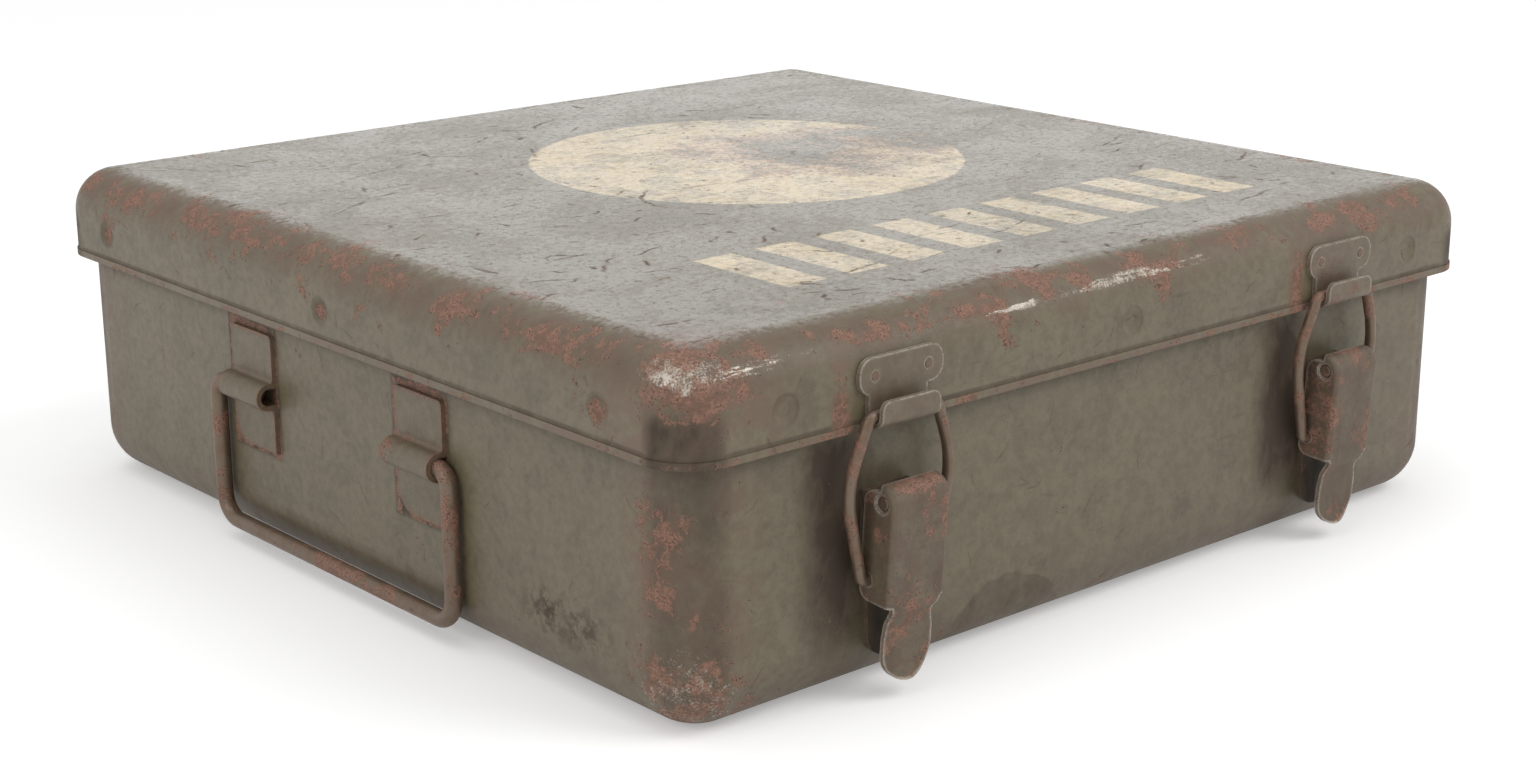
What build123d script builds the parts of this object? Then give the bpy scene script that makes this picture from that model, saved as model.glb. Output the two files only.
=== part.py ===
from build123d import *
import os
from math import atan2, cos, degrees, radians, sin

# First aid box: a shallow case pressed from steel sheet, with an overlapping hinged lid,
# two wire-bail draw latches on the front and a wire carrying handle on the left side.
# Millimetres, +Z up. The origin lies on the floor under the middle of the case body.
# The latches face -Y, the hinges are at +Y and the handle hangs on the -X side.

# Driving dimensions of the case
sheet = 0.9
lid_length = 241.3
lid_depth = 239.5
case_height = 75.8
skirt_height = 20.8
lid_corner_radius = 10.8
lid_shoulder_radius = 10.2
hem_height = 1.5
hem_proud = 0.3
skirt_gap = 1.9
body_corner_radius = 12.6
body_floor_radius = 12.0
rim_below_roof = 5.5

# Driving dimensions of the rubber seal and of the dimples that centre the lid
seal_width = 8.5
seal_fit = 0.15
dimple_pitch = 95.8
dimple_above_edge = 7.7
dimple_radius = 3.3
dimple_floor_radius = 1.4
dimple_depth = 0.8

# Driving dimensions of the latches
latch_from_end = 52.45
latch_sheet = 1.0
bail_wire_radius = 1.2
hook_clearance = 0.2
hook_above_edge = 0.6
hook_width = 15.3
hook_lip_height = 3.1
keeper_plate_width = 22.0
keeper_plate_height = 7.4
keeper_plate_radius = 3.3
keeper_plate_above_hook = 7.3
keeper_plate_shift = 0.9
keeper_lip_radius = 2.0
keeper_rivet_spacing = 14.0
rivet_radius = 0.9
rivet_head_radius = 1.05
rivet_head_height = 0.15
rivet_tail_radius = 1.2
rivet_tail_height = 0.3
rivet_clearance = 0.05
rivet_drill = 4 * sheet
pivot_below_bar = 16.9
pivot_from_wall = 7.2
pivot_pin_radius = 1.4
pivot_clearance = 0.08
pivot_countersink = 0.5
pivot_pin_inset = 0.35
pin_end_round = 0.35
lever_width = 15.0
lever_front = 3.7
lever_back = 4.6
lever_length = 20.6
lever_tilt = 4.0
lever_bend_radius = 1.1
lever_roll_past_top = 10.0
cheek_top = 1.9
cheek_corner_radius = 2.4
cheek_relief = 0.2
bail_hole_back = 2.7
bail_hole_drop = 16.3
bail_hole_clearance = 0.1
tab_neck_width = 11.2
tab_neck_drop = 2.6
tab_straight_side = 3.2
tab_radius = 6.4
tab_reach = 37.2
tab_step_radius = 3.0
tab_heel_radius = 4.5
tab_step_turn = 40.0
tab_blade_length = 8.0
tab_tip_radius = 7.0
tab_tip_turn = 36.0
ear_gap = 0.25
ear_nose_radius = 2.4
ear_root_top = 6.0
ear_root_bottom = 13.5
base_above_pivot = 1.0
base_foot_width = 10.0
base_foot_drop = 34.0
bail_end_inside = 0.7
bail_foot_gap = 1.5
bail_bulge = 14.1
bail_bulge_rise = 19.5
bail_shoulder_gap = 1.25
bail_foot_bend = 1.5
bail_bulge_bend = 20.0
bail_shoulder_bend = 1.8

# Driving dimensions of the handle and its two straps
handle_wire_radius = 1.85
handle_pivot_below_skirt = 17.2
handle_from_wall = 2.2
handle_width = 92.4
handle_shift = 0.9
handle_drop = 32.8
handle_shoulder_bend = 3.6
handle_corner_bend = 5.6
handle_end_inset = 4.0
strap_sheet = 1.1
strap_spacing = 66.4
strap_width = 17.2
strap_rise = 13.8
strap_fall = 13.3
strap_clearance = 0.1
strap_rear_corner = 6.0
strap_corner = 1.2
strap_bend_radius = 0.9

# Driving dimensions of the hinges
hinge_from_end = 52.45
hinge_sheet = 1.0
hinge_width = 30.0
hinge_middle_width = 11.4
hinge_play = 0.3
hinge_pin_radius = 1.2
hinge_bore_clearance = 0.05
hinge_below_skirt = 2.8
hinge_lid_leaf_height = 9.0
hinge_body_leaf_height = 16.0
hinge_leaf_corner = 2.0
hinge_jog_height = 6.5

# Places that follow from the driving dimensions
skirt_z = case_height - skirt_height
roof_z = case_height - sheet
rim_z = roof_z - rim_below_roof
wall_inset = sheet + skirt_gap
latch_offset = lid_length / 2 - latch_from_end
hinge_offset = lid_length / 2 - hinge_from_end
body_length = lid_length - 2 * wall_inset
body_depth = lid_depth - 2 * wall_inset
skirt_front_y = -lid_depth / 2
skirt_back_y = lid_depth / 2
wall_front_y = -body_depth / 2
wall_back_y = body_depth / 2
wall_left_x = -body_length / 2
match = 0.01
middle_align = (Align.CENTER, Align.CENTER, Align.CENTER)
standing_align = (Align.CENTER, Align.CENTER, Align.MIN)

os.makedirs("parts", exist_ok=True)


def save(shape, name):
    shape.label = name
    export_step(shape, f"parts/{name}.step")


# Views that the profiles are drawn in: local x runs out of the case, local y runs up
def front_side_view(x, y):
    return Plane(origin=(x, y, 0), x_dir=(0, -1, 0), z_dir=(-1, 0, 0))


def back_side_view(x, y):
    return Plane(origin=(x, y, 0), x_dir=(0, 1, 0), z_dir=(1, 0, 0))


def left_side_view(y):
    return Plane(origin=(wall_left_x, y, 0), x_dir=(-1, 0, 0), z_dir=(0, 1, 0))


def front_view(x, y, z):
    return Plane(origin=(x, y, z), x_dir=(1, 0, 0), z_dir=(0, -1, 0))


def across(x, y, z):
    return Plane(origin=(x, y, z), x_dir=(0, 1, 0), z_dir=(1, 0, 0))


# Case body: a drawn tray with rounded floor edges and a plain rim inside the lid
with BuildPart() as body_tray:
    with BuildSketch():
        RectangleRounded(body_length, body_depth, body_corner_radius)
    extrude(amount=rim_z)
    fillet(body_tray.faces().sort_by(Axis.Z)[0].edges(), body_floor_radius)
    offset(amount=-sheet, openings=body_tray.faces().sort_by(Axis.Z)[-1])
save(body_tray.part, "case_body")


# Dimples: three to each side of the skirt, pressed inward
def dimple_planes():
    half_length = lid_length / 2
    half_depth = lid_depth / 2
    height = skirt_z + dimple_above_edge
    planes = []
    for step in (-1, 0, 1):
        along = step * dimple_pitch
        planes.append(Plane(origin=(along, -half_depth, height), z_dir=(0, 1, 0)))
        planes.append(Plane(origin=(along, half_depth, height), z_dir=(0, -1, 0)))
        planes.append(Plane(origin=(-half_length, along, height), z_dir=(1, 0, 0)))
        planes.append(Plane(origin=(half_length, along, height), z_dir=(-1, 0, 0)))
    return planes


# Hook trough of the keeper, which sets the height of the whole latch
trough_radius = bail_wire_radius + hook_clearance
hook_radius = trough_radius + latch_sheet
bar_z = skirt_z + hook_above_edge + hook_radius
bar_from_wall = wall_inset + hook_radius
plate_z = bar_z + keeper_plate_above_hook


def keeper_rivet_planes(x):
    half = keeper_rivet_spacing / 2
    middle = x + keeper_plate_shift
    return [front_view(middle + side * half, skirt_front_y, plate_z) for side in (-1, 1)]


# Lid: a pan with a rounded shoulder, a deep skirt, a thin outer hem, dimples and rivet holes
with BuildPart() as lid_shell:
    with BuildSketch(Plane.XY.offset(skirt_z)):
        RectangleRounded(lid_length, lid_depth, lid_corner_radius)
    extrude(amount=skirt_height)
    fillet(lid_shell.faces().sort_by(Axis.Z)[-1].edges(), lid_shoulder_radius)
    offset(amount=-sheet, openings=lid_shell.faces().sort_by(Axis.Z)[0])
    with BuildSketch(Plane.XY.offset(skirt_z)):
        RectangleRounded(
            lid_length + 2 * hem_proud,
            lid_depth + 2 * hem_proud,
            lid_corner_radius + hem_proud,
        )
        RectangleRounded(
            lid_length - sheet,
            lid_depth - sheet,
            lid_corner_radius - sheet / 2,
            mode=Mode.SUBTRACT,
        )
    extrude(amount=hem_height)
    with Locations([plane.offset(sheet / 2) for plane in dimple_planes()]):
        Cone(
            dimple_radius + sheet / 2,
            dimple_floor_radius + sheet / 2,
            dimple_depth + sheet / 2,
            align=standing_align,
        )
    with Locations(dimple_planes()):
        Cone(
            dimple_radius,
            dimple_floor_radius,
            dimple_depth,
            align=standing_align,
            mode=Mode.SUBTRACT,
        )
    for latch_x in (-latch_offset, latch_offset):
        with Locations(keeper_rivet_planes(latch_x)):
            Cylinder(rivet_radius + rivet_clearance, rivet_drill, align=middle_align, mode=Mode.SUBTRACT)
save(lid_shell.part, "lid_shell")

# Rubber seal: a plain ring that nests in the rounded shoulder and rests on the rim of the body
seal_inset = sheet + seal_fit
with BuildPart() as lid_seal:
    with BuildSketch(Plane.XY.offset(skirt_z)):
        RectangleRounded(
            lid_length - 2 * seal_inset,
            lid_depth - 2 * seal_inset,
            lid_corner_radius - seal_inset,
        )
    extrude(amount=roof_z - seal_fit - skirt_z)
    fillet(lid_seal.faces().sort_by(Axis.Z)[-1].edges(), lid_shoulder_radius - seal_inset)
    split(bisect_by=Plane.XY.offset(rim_z), keep=Keep.TOP)
    with BuildSketch(Plane.XY.offset(rim_z)):
        RectangleRounded(
            lid_length - 2 * (seal_inset + seal_width),
            lid_depth - 2 * (seal_inset + seal_width),
            lid_corner_radius - seal_inset,
        )
    extrude(amount=rim_below_roof, mode=Mode.SUBTRACT)
save(lid_seal.part, "lid_seal")


# Keeper: a round-ended plate on the skirt whose neck curls into an open hook
def make_keeper(x, name):
    lip_z = bar_z + hook_lip_height
    lip_out = 2 * hook_radius
    neck_length = plate_z - bar_z
    with BuildPart() as keeper:
        with BuildSketch(front_side_view(x, skirt_front_y)):
            with BuildLine():
                Line((0, bar_z + neck_length / 2), (0, bar_z))
                ThreePointArc((0, bar_z), (hook_radius, bar_z - hook_radius), (lip_out, bar_z))
                Line((lip_out, bar_z), (lip_out, lip_z))
                Line((lip_out, lip_z), (lip_out - latch_sheet, lip_z))
                Line((lip_out - latch_sheet, lip_z), (lip_out - latch_sheet, bar_z))
                ThreePointArc(
                    (lip_out - latch_sheet, bar_z),
                    (hook_radius, bar_z - trough_radius),
                    (latch_sheet, bar_z),
                )
                Line((latch_sheet, bar_z), (latch_sheet, bar_z + neck_length / 2))
                Line((latch_sheet, bar_z + neck_length / 2), (0, bar_z + neck_length / 2))
            make_face()
        extrude(amount=hook_width / 2, both=True)
        thickness_edges = keeper.edges().filter_by(Axis.Y)
        lip_corners = thickness_edges.filter_by_position(Axis.Z, lip_z - match, lip_z + match)
        fillet(lip_corners, keeper_lip_radius)
        with BuildSketch(front_view(x, skirt_front_y, plate_z)):
            with Locations((keeper_plate_shift, 0)):
                RectangleRounded(keeper_plate_width, keeper_plate_height, keeper_plate_radius)
            with Locations((0, -neck_length / 2)):
                Rectangle(hook_width, neck_length)
        extrude(amount=latch_sheet)
        with Locations(keeper_rivet_planes(x)):
            Cylinder(rivet_radius + rivet_clearance, rivet_drill, align=middle_align, mode=Mode.SUBTRACT)
    save(keeper.part, name)


# Keeper rivets: a nearly flush head on the plate and a fuller one inside the lid
def make_keeper_rivets(x, name):
    inner_seat = sheet + rivet_clearance
    with BuildPart() as rivets:
        with Locations([plane.offset(latch_sheet) for plane in keeper_rivet_planes(x)]):
            Cone(rivet_head_radius, rivet_radius, rivet_head_height, align=standing_align)
        with Locations([plane.offset(-inner_seat) for plane in keeper_rivet_planes(x)]):
            Cylinder(rivet_radius, latch_sheet + inner_seat, align=standing_align)
            Cylinder(rivet_tail_radius, rivet_tail_height, align=(Align.CENTER, Align.CENTER, Align.MAX))
    save(rivets.part, name)


# Latch pivot, and the lever's own frame: local x out of its face, local y along it, upward
pivot_y = wall_front_y - pivot_from_wall
pivot_z = bar_z - pivot_below_bar
tilt = radians(lever_tilt)
lever_inner_width = lever_width - 2 * latch_sheet


def lever_side_view(x):
    return Plane(origin=(x, pivot_y, pivot_z), x_dir=(0, -cos(tilt), -sin(tilt)), z_dir=(-1, 0, 0))


def lever_front_view(x):
    return Plane(origin=(x, pivot_y, pivot_z), x_dir=(1, 0, 0), z_dir=(0, -cos(tilt), -sin(tilt)))


# Base: a back plate with a rounded foot, and two ears that carry the pivot pin
def make_latch_base(x, name):
    base_width = lever_inner_width - 2 * ear_gap
    plate_top = pivot_z + base_above_pivot
    plate_bottom = pivot_z - ear_root_bottom
    foot_center = pivot_z - base_foot_drop + base_foot_width / 2
    with BuildPart() as base:
        with BuildSketch(front_side_view(x, wall_front_y)):
            with BuildSketch(mode=Mode.PRIVATE) as nose:
                with Locations((pivot_from_wall, pivot_z)):
                    Circle(ear_nose_radius)
                with Locations((latch_sheet / 2, pivot_z - (ear_root_top + ear_root_bottom) / 2)):
                    Rectangle(latch_sheet, ear_root_bottom - ear_root_top)
            make_hull(nose.edges())
            with Locations((0, pivot_z - ear_root_top)):
                Rectangle(
                    pivot_from_wall - ear_nose_radius,
                    2 * ear_root_top,
                    align=(Align.MIN, Align.MIN),
                    mode=Mode.SUBTRACT,
                )
        extrude(amount=base_width / 2, both=True)
        with BuildSketch(front_side_view(x, wall_front_y - latch_sheet)):
            with Locations((0, pivot_z)):
                channel_height = 2 * (ear_root_bottom + latch_sheet)
                Rectangle(2 * pivot_from_wall, channel_height, align=(Align.MIN, Align.CENTER))
        extrude(amount=base_width / 2 - latch_sheet, both=True, mode=Mode.SUBTRACT)
        with BuildSketch(front_view(x, wall_front_y, 0)):
            with Locations((0, plate_bottom)):
                Rectangle(base_width, plate_top - plate_bottom, align=(Align.CENTER, Align.MIN))
            with Locations((0, foot_center)):
                Rectangle(base_foot_width, plate_top - foot_center, align=(Align.CENTER, Align.MIN))
                Circle(base_foot_width / 2)
        extrude(amount=latch_sheet)
        with Locations(across(x, pivot_y, pivot_z)):
            Cylinder(
                pivot_pin_radius + pivot_clearance,
                lever_width,
                align=middle_align,
                mode=Mode.SUBTRACT,
            )
    save(base.part, name)


# Pivot pin: runs through both ears and both cheeks, its ends a little below their faces
def make_pivot_pin(x, name):
    with BuildPart() as pin:
        with Locations(across(x, pivot_y, pivot_z)):
            Cylinder(pivot_pin_radius, lever_width - 2 * pivot_pin_inset, align=middle_align)
        fillet(pin.edges().filter_by(GeomType.CIRCLE), pin_end_round)
    save(pin.part, name)


# Lever: a folded channel rolled over its pivot, with a finger tab that steps in below its face
def make_lever(x, name):
    bottom = -lever_length
    roll_end = radians(90 + lever_roll_past_top)
    inner_front = lever_front - latch_sheet
    outside = 2 * lever_front
    with BuildPart() as tab:
        with BuildSketch(lever_side_view(x)):
            with BuildLine():
                face_line = lever_front - latch_sheet / 2
                lead = Line((face_line, bottom + 2 * latch_sheet), (face_line, bottom))
                step_in = JernArc(lead @ 1, lead % 1, tab_step_radius, -tab_step_turn)
                heel = JernArc(step_in @ 1, step_in % 1, tab_heel_radius, tab_step_turn)
                blade = Line(heel @ 1, heel @ 1 + heel % 1 * tab_blade_length)
                JernArc(blade @ 1, blade % 1, tab_tip_radius, tab_tip_turn)
            trace(line_width=latch_sheet)
        extrude(amount=lever_width / 2, both=True)
        with BuildSketch(lever_front_view(x).offset(-lever_back)):
            with BuildLine():
                half = lever_width / 2 - lever_bend_radius
                half_neck = tab_neck_width / 2
                disc_center = tab_radius - tab_reach
                left_side = [
                    (-half, bottom + latch_sheet),
                    (-half, bottom),
                    (-half_neck, bottom - tab_neck_drop),
                    (-tab_radius, disc_center + tab_straight_side),
                    (-tab_radius, disc_center),
                ]
                Polyline(*left_side, *[(-side, up) for side, up in reversed(left_side)], close=True)
            make_face()
            with Locations((0, disc_center)):
                Circle(tab_radius)
        extrude(amount=lever_back + outside, mode=Mode.INTERSECT)
    with BuildPart() as lever:
        with BuildSketch(lever_side_view(x)) as cheek:
            with BuildLine():
                roll = CenterArc((0, 0), lever_front, 0, 90 + lever_roll_past_top)
                step = lever_front - lever_bend_radius - cheek_relief
                Polyline(
                    roll @ 1,
                    (step * cos(roll_end), step * sin(roll_end)),
                    (-lever_back, cheek_top),
                    (-lever_back, bottom),
                    (lever_front, bottom),
                    roll @ 0,
                )
            make_face()
            fillet(cheek.vertices().group_by(Axis.X)[0], cheek_corner_radius)
        extrude(amount=lever_width / 2, both=True)
        front_bends = lever.edges().filter_by(
            lambda edge: abs(abs((edge @ 0.5).X - x) - lever_width / 2) < match
            and lever_side_view(x).to_local_coords(edge @ 0.5).X > latch_sheet / 2
            and lever_side_view(x).to_local_coords(edge @ 0.5).Y > bottom + latch_sheet / 2
        )
        fillet(front_bends, lever_bend_radius)
        with BuildSketch(lever_side_view(x)):
            with BuildLine():
                inside = CenterArc((0, 0), inner_front, 0, 90 + lever_roll_past_top)
                Polyline(
                    inside @ 1,
                    (outside * cos(roll_end), outside * sin(roll_end)),
                    (-outside, outside * sin(roll_end)),
                    (-outside, 2 * bottom),
                    (inner_front, 2 * bottom),
                    inside @ 0,
                )
            make_face()
        extrude(amount=lever_inner_width / 2, both=True, mode=Mode.SUBTRACT)
        add(tab.part)
        with Locations(across(x, pivot_y, pivot_z)):
            Cylinder(
                pivot_pin_radius + pivot_clearance,
                lever_width,
                align=middle_align,
                mode=Mode.SUBTRACT,
            )
        for side in (-1, 1):
            sink = Plane(origin=(x + side * lever_width / 2, pivot_y, pivot_z), z_dir=(-side, 0, 0))
            with Locations(sink):
                Cone(
                    pivot_pin_radius + pivot_clearance + pivot_countersink,
                    pivot_pin_radius + pivot_clearance,
                    pivot_countersink,
                    align=standing_align,
                    mode=Mode.SUBTRACT,
                )
        with Locations(across(*bail_hole(x))):
            Cylinder(
                bail_wire_radius + bail_hole_clearance,
                lever_width,
                align=middle_align,
                mode=Mode.SUBTRACT,
            )
    save(lever.part, name)


# Holes in the cheeks, behind and below the pivot, that take the ends of the bail
def bail_hole(x):
    point = lever_side_view(x).from_local_coords(Vector(-bail_hole_back, -bail_hole_drop, 0))
    return (x, point.Y, point.Z)


# Bail: one bent wire from cheek to cheek, bulging beside the lever, over the hook's trough
def make_bail(x, name):
    hole = Vector(*bail_hole(x))
    bar = Vector(x, wall_front_y - bar_from_wall, bar_z)
    rise = bar - hole
    bail_view = Plane(origin=hole, x_dir=(1, 0, 0), z_dir=Vector(1, 0, 0).cross(rise))
    end = lever_width / 2 - latch_sheet - bail_end_inside
    foot = lever_width / 2 + bail_foot_gap
    shoulder = hook_width / 2 + bail_shoulder_gap
    with BuildPart() as bail:
        with BuildLine(bail_view) as path:
            FilletPolyline(
                (-end, 0),
                (-foot, 0),
                (-bail_bulge, bail_bulge_rise),
                (-shoulder, rise.length),
                (shoulder, rise.length),
                (bail_bulge, bail_bulge_rise),
                (foot, 0),
                (end, 0),
                radius=[
                    bail_foot_bend,
                    bail_bulge_bend,
                    bail_shoulder_bend,
                    bail_shoulder_bend,
                    bail_bulge_bend,
                    bail_foot_bend,
                ],
            )
        with BuildSketch(Plane(origin=path.line @ 0, z_dir=path.line % 0)):
            Circle(bail_wire_radius)
        sweep()
    save(bail.part, name)
    turn = degrees(atan2(wall_front_y - hole.Y - bar_from_wall, rise.Z))
    print(f"{name}: hole {hole.Y:.3f}, {hole.Z:.3f}, length {rise.length:.3f}, lean {turn:.2f}")


for side_name, latch_x in (("left", -latch_offset), ("right", latch_offset)):
    make_keeper(latch_x, f"latch_keeper_{side_name}")
    make_keeper_rivets(latch_x, f"keeper_rivets_{side_name}")
    make_latch_base(latch_x, f"latch_base_{side_name}")
    make_pivot_pin(latch_x, f"latch_pin_{side_name}")
    make_lever(latch_x, f"latch_lever_{side_name}")
    make_bail(latch_x, f"latch_bail_{side_name}")

# Handle: one bent steel wire whose ends turn inward and run in the straps
handle_z = skirt_z - handle_pivot_below_skirt
strap_bore = handle_wire_radius + strap_clearance
strap_out = strap_bore + strap_sheet
strap_inner_end = (strap_spacing - strap_width) / 2
handle_center = (wall_left_x - handle_from_wall, handle_shift, handle_z)
handle_view = Plane(origin=handle_center, x_dir=(0, 1, 0), z_dir=(1, 0, 0))
with BuildPart() as handle_wire:
    with BuildLine(handle_view) as handle_path:
        FilletPolyline(
            (-strap_inner_end - handle_end_inset, 0),
            (-handle_width / 2, 0),
            (-handle_width / 2, -handle_drop),
            (handle_width / 2, -handle_drop),
            (handle_width / 2, 0),
            (strap_inner_end + handle_end_inset, 0),
            radius=[handle_shoulder_bend, handle_corner_bend, handle_corner_bend, handle_shoulder_bend],
        )
    with BuildSketch(Plane(origin=handle_path.line @ 0, z_dir=handle_path.line % 0)):
        Circle(handle_wire_radius)
    sweep()
save(handle_wire.part, "handle_wire")


# Strap: a flat strip welded to the wall, bulged out into an arch over the end of the handle
def make_strap(y, name):
    top = handle_z + strap_rise
    bottom = handle_z - strap_fall
    with BuildPart() as strap:
        with BuildSketch(left_side_view(y)) as profile:
            with BuildLine():
                Polyline(
                    (handle_from_wall, handle_z + strap_out),
                    (strap_sheet, handle_z + strap_out),
                    (strap_sheet, top),
                    (0, top),
                    (0, handle_z + strap_bore),
                    (handle_from_wall, handle_z + strap_bore),
                )
                ThreePointArc(
                    (handle_from_wall, handle_z + strap_bore),
                    (handle_from_wall + strap_bore, handle_z),
                    (handle_from_wall, handle_z - strap_bore),
                )
                Polyline(
                    (handle_from_wall, handle_z - strap_bore),
                    (0, handle_z - strap_bore),
                    (0, bottom),
                    (strap_sheet, bottom),
                    (strap_sheet, handle_z - strap_out),
                    (handle_from_wall, handle_z - strap_out),
                )
                ThreePointArc(
                    (handle_from_wall, handle_z - strap_out),
                    (handle_from_wall + strap_out, handle_z),
                    (handle_from_wall, handle_z + strap_out),
                )
            make_face()
            bends = profile.vertices().filter_by(
                lambda point: abs(point.X - strap_sheet) < match
                and abs(abs(point.Y - handle_z) - strap_out) < match
            )
            fillet(bends, strap_bend_radius)
        extrude(amount=strap_width / 2, both=True)
        corners = strap.edges().filter_by(Axis.X)
        low = corners.group_by(Axis.Z)[0].sort_by(Axis.Y)
        fillet(low[-1], strap_rear_corner)
        high = strap.edges().filter_by(Axis.X).group_by(Axis.Z)[-1]
        fillet(high, strap_corner)
    save(strap.part, name)


make_strap(strap_spacing / 2, "handle_strap_rear")
make_strap(-strap_spacing / 2, "handle_strap_front")

# Hinges: a leaf on the lid, a leaf on the body and a pin below the edge of the skirt
hinge_bore = hinge_pin_radius + hinge_bore_clearance
knuckle_radius = hinge_bore + hinge_sheet
hinge_from_skirt = hem_proud + knuckle_radius
hinge_from_wall = wall_inset + hinge_from_skirt
hinge_y = wall_back_y + hinge_from_wall
hinge_z = skirt_z - hinge_below_skirt


def make_hinge_lid_leaf(x, name):
    leaf_bottom = skirt_z + hem_height
    leaf_top = leaf_bottom + hinge_lid_leaf_height
    with BuildPart() as leaf:
        with BuildSketch(back_side_view(x, skirt_back_y)):
            with Locations((hem_proud, hinge_z)):
                Rectangle(hinge_sheet, leaf_top - hinge_z, align=(Align.MIN, Align.MIN))
            with Locations((hinge_from_skirt, hinge_z)):
                Circle(knuckle_radius)
                Circle(hinge_bore, mode=Mode.SUBTRACT)
        extrude(amount=hinge_middle_width / 2, both=True)
        with BuildSketch(back_side_view(x, skirt_back_y)):
            with Locations((hem_proud, leaf_bottom)):
                Rectangle(hinge_sheet, leaf_top - leaf_bottom, align=(Align.MIN, Align.MIN))
        extrude(amount=hinge_width / 2, both=True)
        fillet(leaf.edges().filter_by(Axis.Y).group_by(Axis.Z)[-1], hinge_leaf_corner)
    save(leaf.part, name)


def make_hinge_body_leaf(x, name):
    leaf_top = hinge_z - hinge_jog_height
    leaf_bottom = leaf_top - hinge_body_leaf_height
    with BuildPart() as leaf:
        with BuildSketch(back_side_view(x, wall_back_y)):
            with Locations((0, leaf_bottom)):
                Rectangle(hinge_sheet, leaf_top - leaf_bottom, align=(Align.MIN, Align.MIN))
            with BuildLine():
                Polyline(
                    (0, leaf_top),
                    (hinge_sheet, leaf_top - hinge_sheet / 2),
                    (hinge_from_wall, hinge_z - knuckle_radius),
                    (hinge_from_wall, hinge_z - hinge_bore),
                    (hinge_from_wall - knuckle_radius + hinge_sheet / 2, hinge_z - hinge_bore),
                    close=True,
                )
            make_face()
            with Locations((hinge_from_wall, hinge_z)):
                Circle(knuckle_radius)
                Circle(hinge_bore, mode=Mode.SUBTRACT)
        extrude(amount=hinge_width / 2, both=True)
        fillet(leaf.edges().filter_by(Axis.Y).group_by(Axis.Z)[0], hinge_leaf_corner)
        gap_height = knuckle_radius + hinge_play
        with Locations((x, hinge_y, hinge_z)):
            Box(
                hinge_middle_width + 2 * hinge_play,
                2 * gap_height,
                2 * gap_height,
                mode=Mode.SUBTRACT,
            )
    save(leaf.part, name)


def make_hinge_pin(x, name):
    with BuildPart() as pin:
        with Locations(across(x, hinge_y, hinge_z)):
            Cylinder(hinge_pin_radius, hinge_width, align=middle_align)
        fillet(pin.edges().filter_by(GeomType.CIRCLE), pin_end_round)
    save(pin.part, name)


for side_name, hinge_x in (("left", -hinge_offset), ("right", hinge_offset)):
    make_hinge_lid_leaf(hinge_x, f"hinge_lid_leaf_{side_name}")
    make_hinge_body_leaf(hinge_x, f"hinge_body_leaf_{side_name}")
    make_hinge_pin(hinge_x, f"hinge_pin_{side_name}")

print(f"lid hinge {hinge_y:.3f}, {hinge_z:.3f}; lever pivot {pivot_y:.3f}, {pivot_z:.3f}")
print(f"handle pivot {wall_left_x - handle_from_wall:.3f}, {handle_z:.3f}; bar {bar_z:.3f}; rim {rim_z:.3f}")
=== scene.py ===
# %% [markdown]
# First aid box, a lesson in aged paint.
# The box is pressed from steel sheet and sprayed in a drab olive. Years of handling have rubbed
# the paint off its edges and let rust in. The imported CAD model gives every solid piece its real
# shape and place, so this file is about the finish: paint, rust, bare metal, grime, scratches
# and a worn stencil, all made with shader nodes from the position on the piece.

from math import cos, pi, radians, sin

import bmesh
import bpy
from mathutils import Matrix, Vector

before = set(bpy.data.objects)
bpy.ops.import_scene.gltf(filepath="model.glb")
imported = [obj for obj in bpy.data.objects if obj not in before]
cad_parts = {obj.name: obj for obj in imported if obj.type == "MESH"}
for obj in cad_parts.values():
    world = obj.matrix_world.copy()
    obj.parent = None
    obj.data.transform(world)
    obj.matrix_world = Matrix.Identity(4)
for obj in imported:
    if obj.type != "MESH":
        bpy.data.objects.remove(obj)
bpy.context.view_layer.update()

# %% [markdown]
# The camera stands where the photographer stood: a little above the lid, in front of the near
# left corner. Its place was found by fitting the outline of the box, so the render and the
# photograph can be laid over each other. A camera looks along its own -Z, so its back vector
# points from the box to the lens.

# %% Camera
view_turn = radians(-41.19)
view_rise = radians(16.23)
view_roll = radians(-0.17)
camera_place = Vector((-0.3837, -0.4438, 0.1943))

back = Vector((sin(view_turn) * cos(view_rise), -cos(view_turn) * cos(view_rise), sin(view_rise)))
level = Vector((cos(view_turn), sin(view_turn), 0))
upward = back.cross(level)
right = level * cos(view_roll) + upward * sin(view_roll)
top = upward * cos(view_roll) - level * sin(view_roll)

camera_data = bpy.data.cameras.new("camera")
camera_data.sensor_fit = "HORIZONTAL"
camera_data.sensor_width = 36
camera_data.lens = 58.35
camera = bpy.data.objects.new("camera", camera_data)
camera.matrix_world = Matrix.Translation(camera_place) @ Matrix((right, top, back)).transposed().to_4x4()
bpy.context.scene.collection.objects.link(camera)
bpy.context.scene.camera = camera
bpy.context.scene.view_settings.view_transform = "Standard"
print("camera is", round(camera_place.length, 3), "m from the middle of the base")

# %% [markdown]
# Node trees are long to write one call at a time. This small helper makes a node, feeds its
# inputs with either a number or another node's output, and returns the output, so that a
# formula for a mask reads almost like plain arithmetic. Four words come back all the time: rises
# and falls are soft steps, near is 1 at a target and fades on both sides of it, and swing centres
# a noise on zero and gives it a span.


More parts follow.
